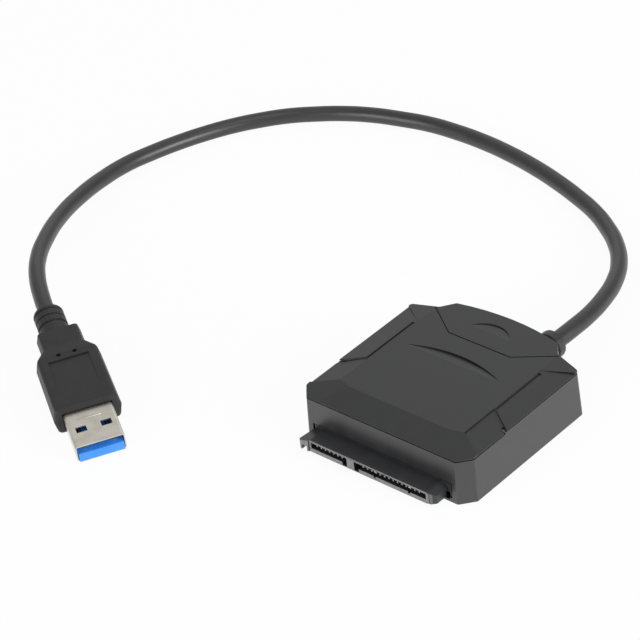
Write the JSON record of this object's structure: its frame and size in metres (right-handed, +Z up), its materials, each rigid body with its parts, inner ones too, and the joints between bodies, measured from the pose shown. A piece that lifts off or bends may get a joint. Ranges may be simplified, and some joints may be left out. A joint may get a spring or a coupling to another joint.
{
  "type": "usb to sata adapter",
  "caption": "Flat faceted adapter box with a slotted drive receptacle in front and a thin cable ending in a wide blue-tongued plug.",
  "frame": {"origin": "middle of the housing's flat base, where it lies on the desk", "axes": "+Z up from the desk, +Y from the drive receptacle to the cable's end of the housing, +X to the power end of the receptacle"},
  "size_m": [0.1683, 0.1607, 0.0132],
  "materials": {
    "black_plastic": "fine matte moulded texture",
    "connector_plastic": "satin moulded",
    "board_green": "solder mask",
    "chip_black": "matte",
    "tin": "tinned",
    "gold": "gold plated",
    "cable_rubber": "satin jacket",
    "steel": "bright plated sheet",
    "blue_plastic": "satin"
  },
  "bodies": {
    "root": {"bottom_shell": "black_plastic", "top_cover": "black_plastic", "sata_receptacle": "connector_plastic", "dc_jack_body": "connector_plastic", "circuit_board": "board_green", "bridge_chip": "chip_black", "flash_chip": "chip_black", "voltage_regulator": "chip_black", "power_inductor": "chip_black", "crystal": "tin", "capacitor": "tin", "dc_jack_pin": "tin", "signal_contact_1": "gold", "signal_contact_2": "gold", "signal_contact_3": "gold", "signal_contact_4": "gold", "signal_contact_5": "gold", "signal_contact_6": "gold", "signal_contact_7": "gold", "power_contact_1": "gold", "power_contact_2": "gold", "power_contact_3": "gold", "power_contact_4": "gold", "power_contact_5": "gold", "power_contact_6": "gold", "power_contact_7": "gold", "power_contact_8": "gold", "power_contact_9": "gold", "power_contact_10": "gold", "power_contact_11": "gold", "power_contact_12": "gold", "power_contact_13": "gold", "power_contact_14": "gold", "power_contact_15": "gold", "dc_jack_spring": "gold", "usb_contact_1": "gold", "usb_contact_2": "gold", "usb_contact_3": "gold", "usb_contact_4": "gold", "superspeed_contact_1": "gold", "superspeed_contact_2": "gold", "superspeed_contact_3": "gold", "superspeed_contact_4": "gold", "superspeed_contact_5": "gold", "cable_grommet": "cable_rubber", "cable": "cable_rubber", "plug_overmold": "cable_rubber", "plug_shell": "steel", "plug_insulator": "blue_plastic"}
  },
  "joints": []
}
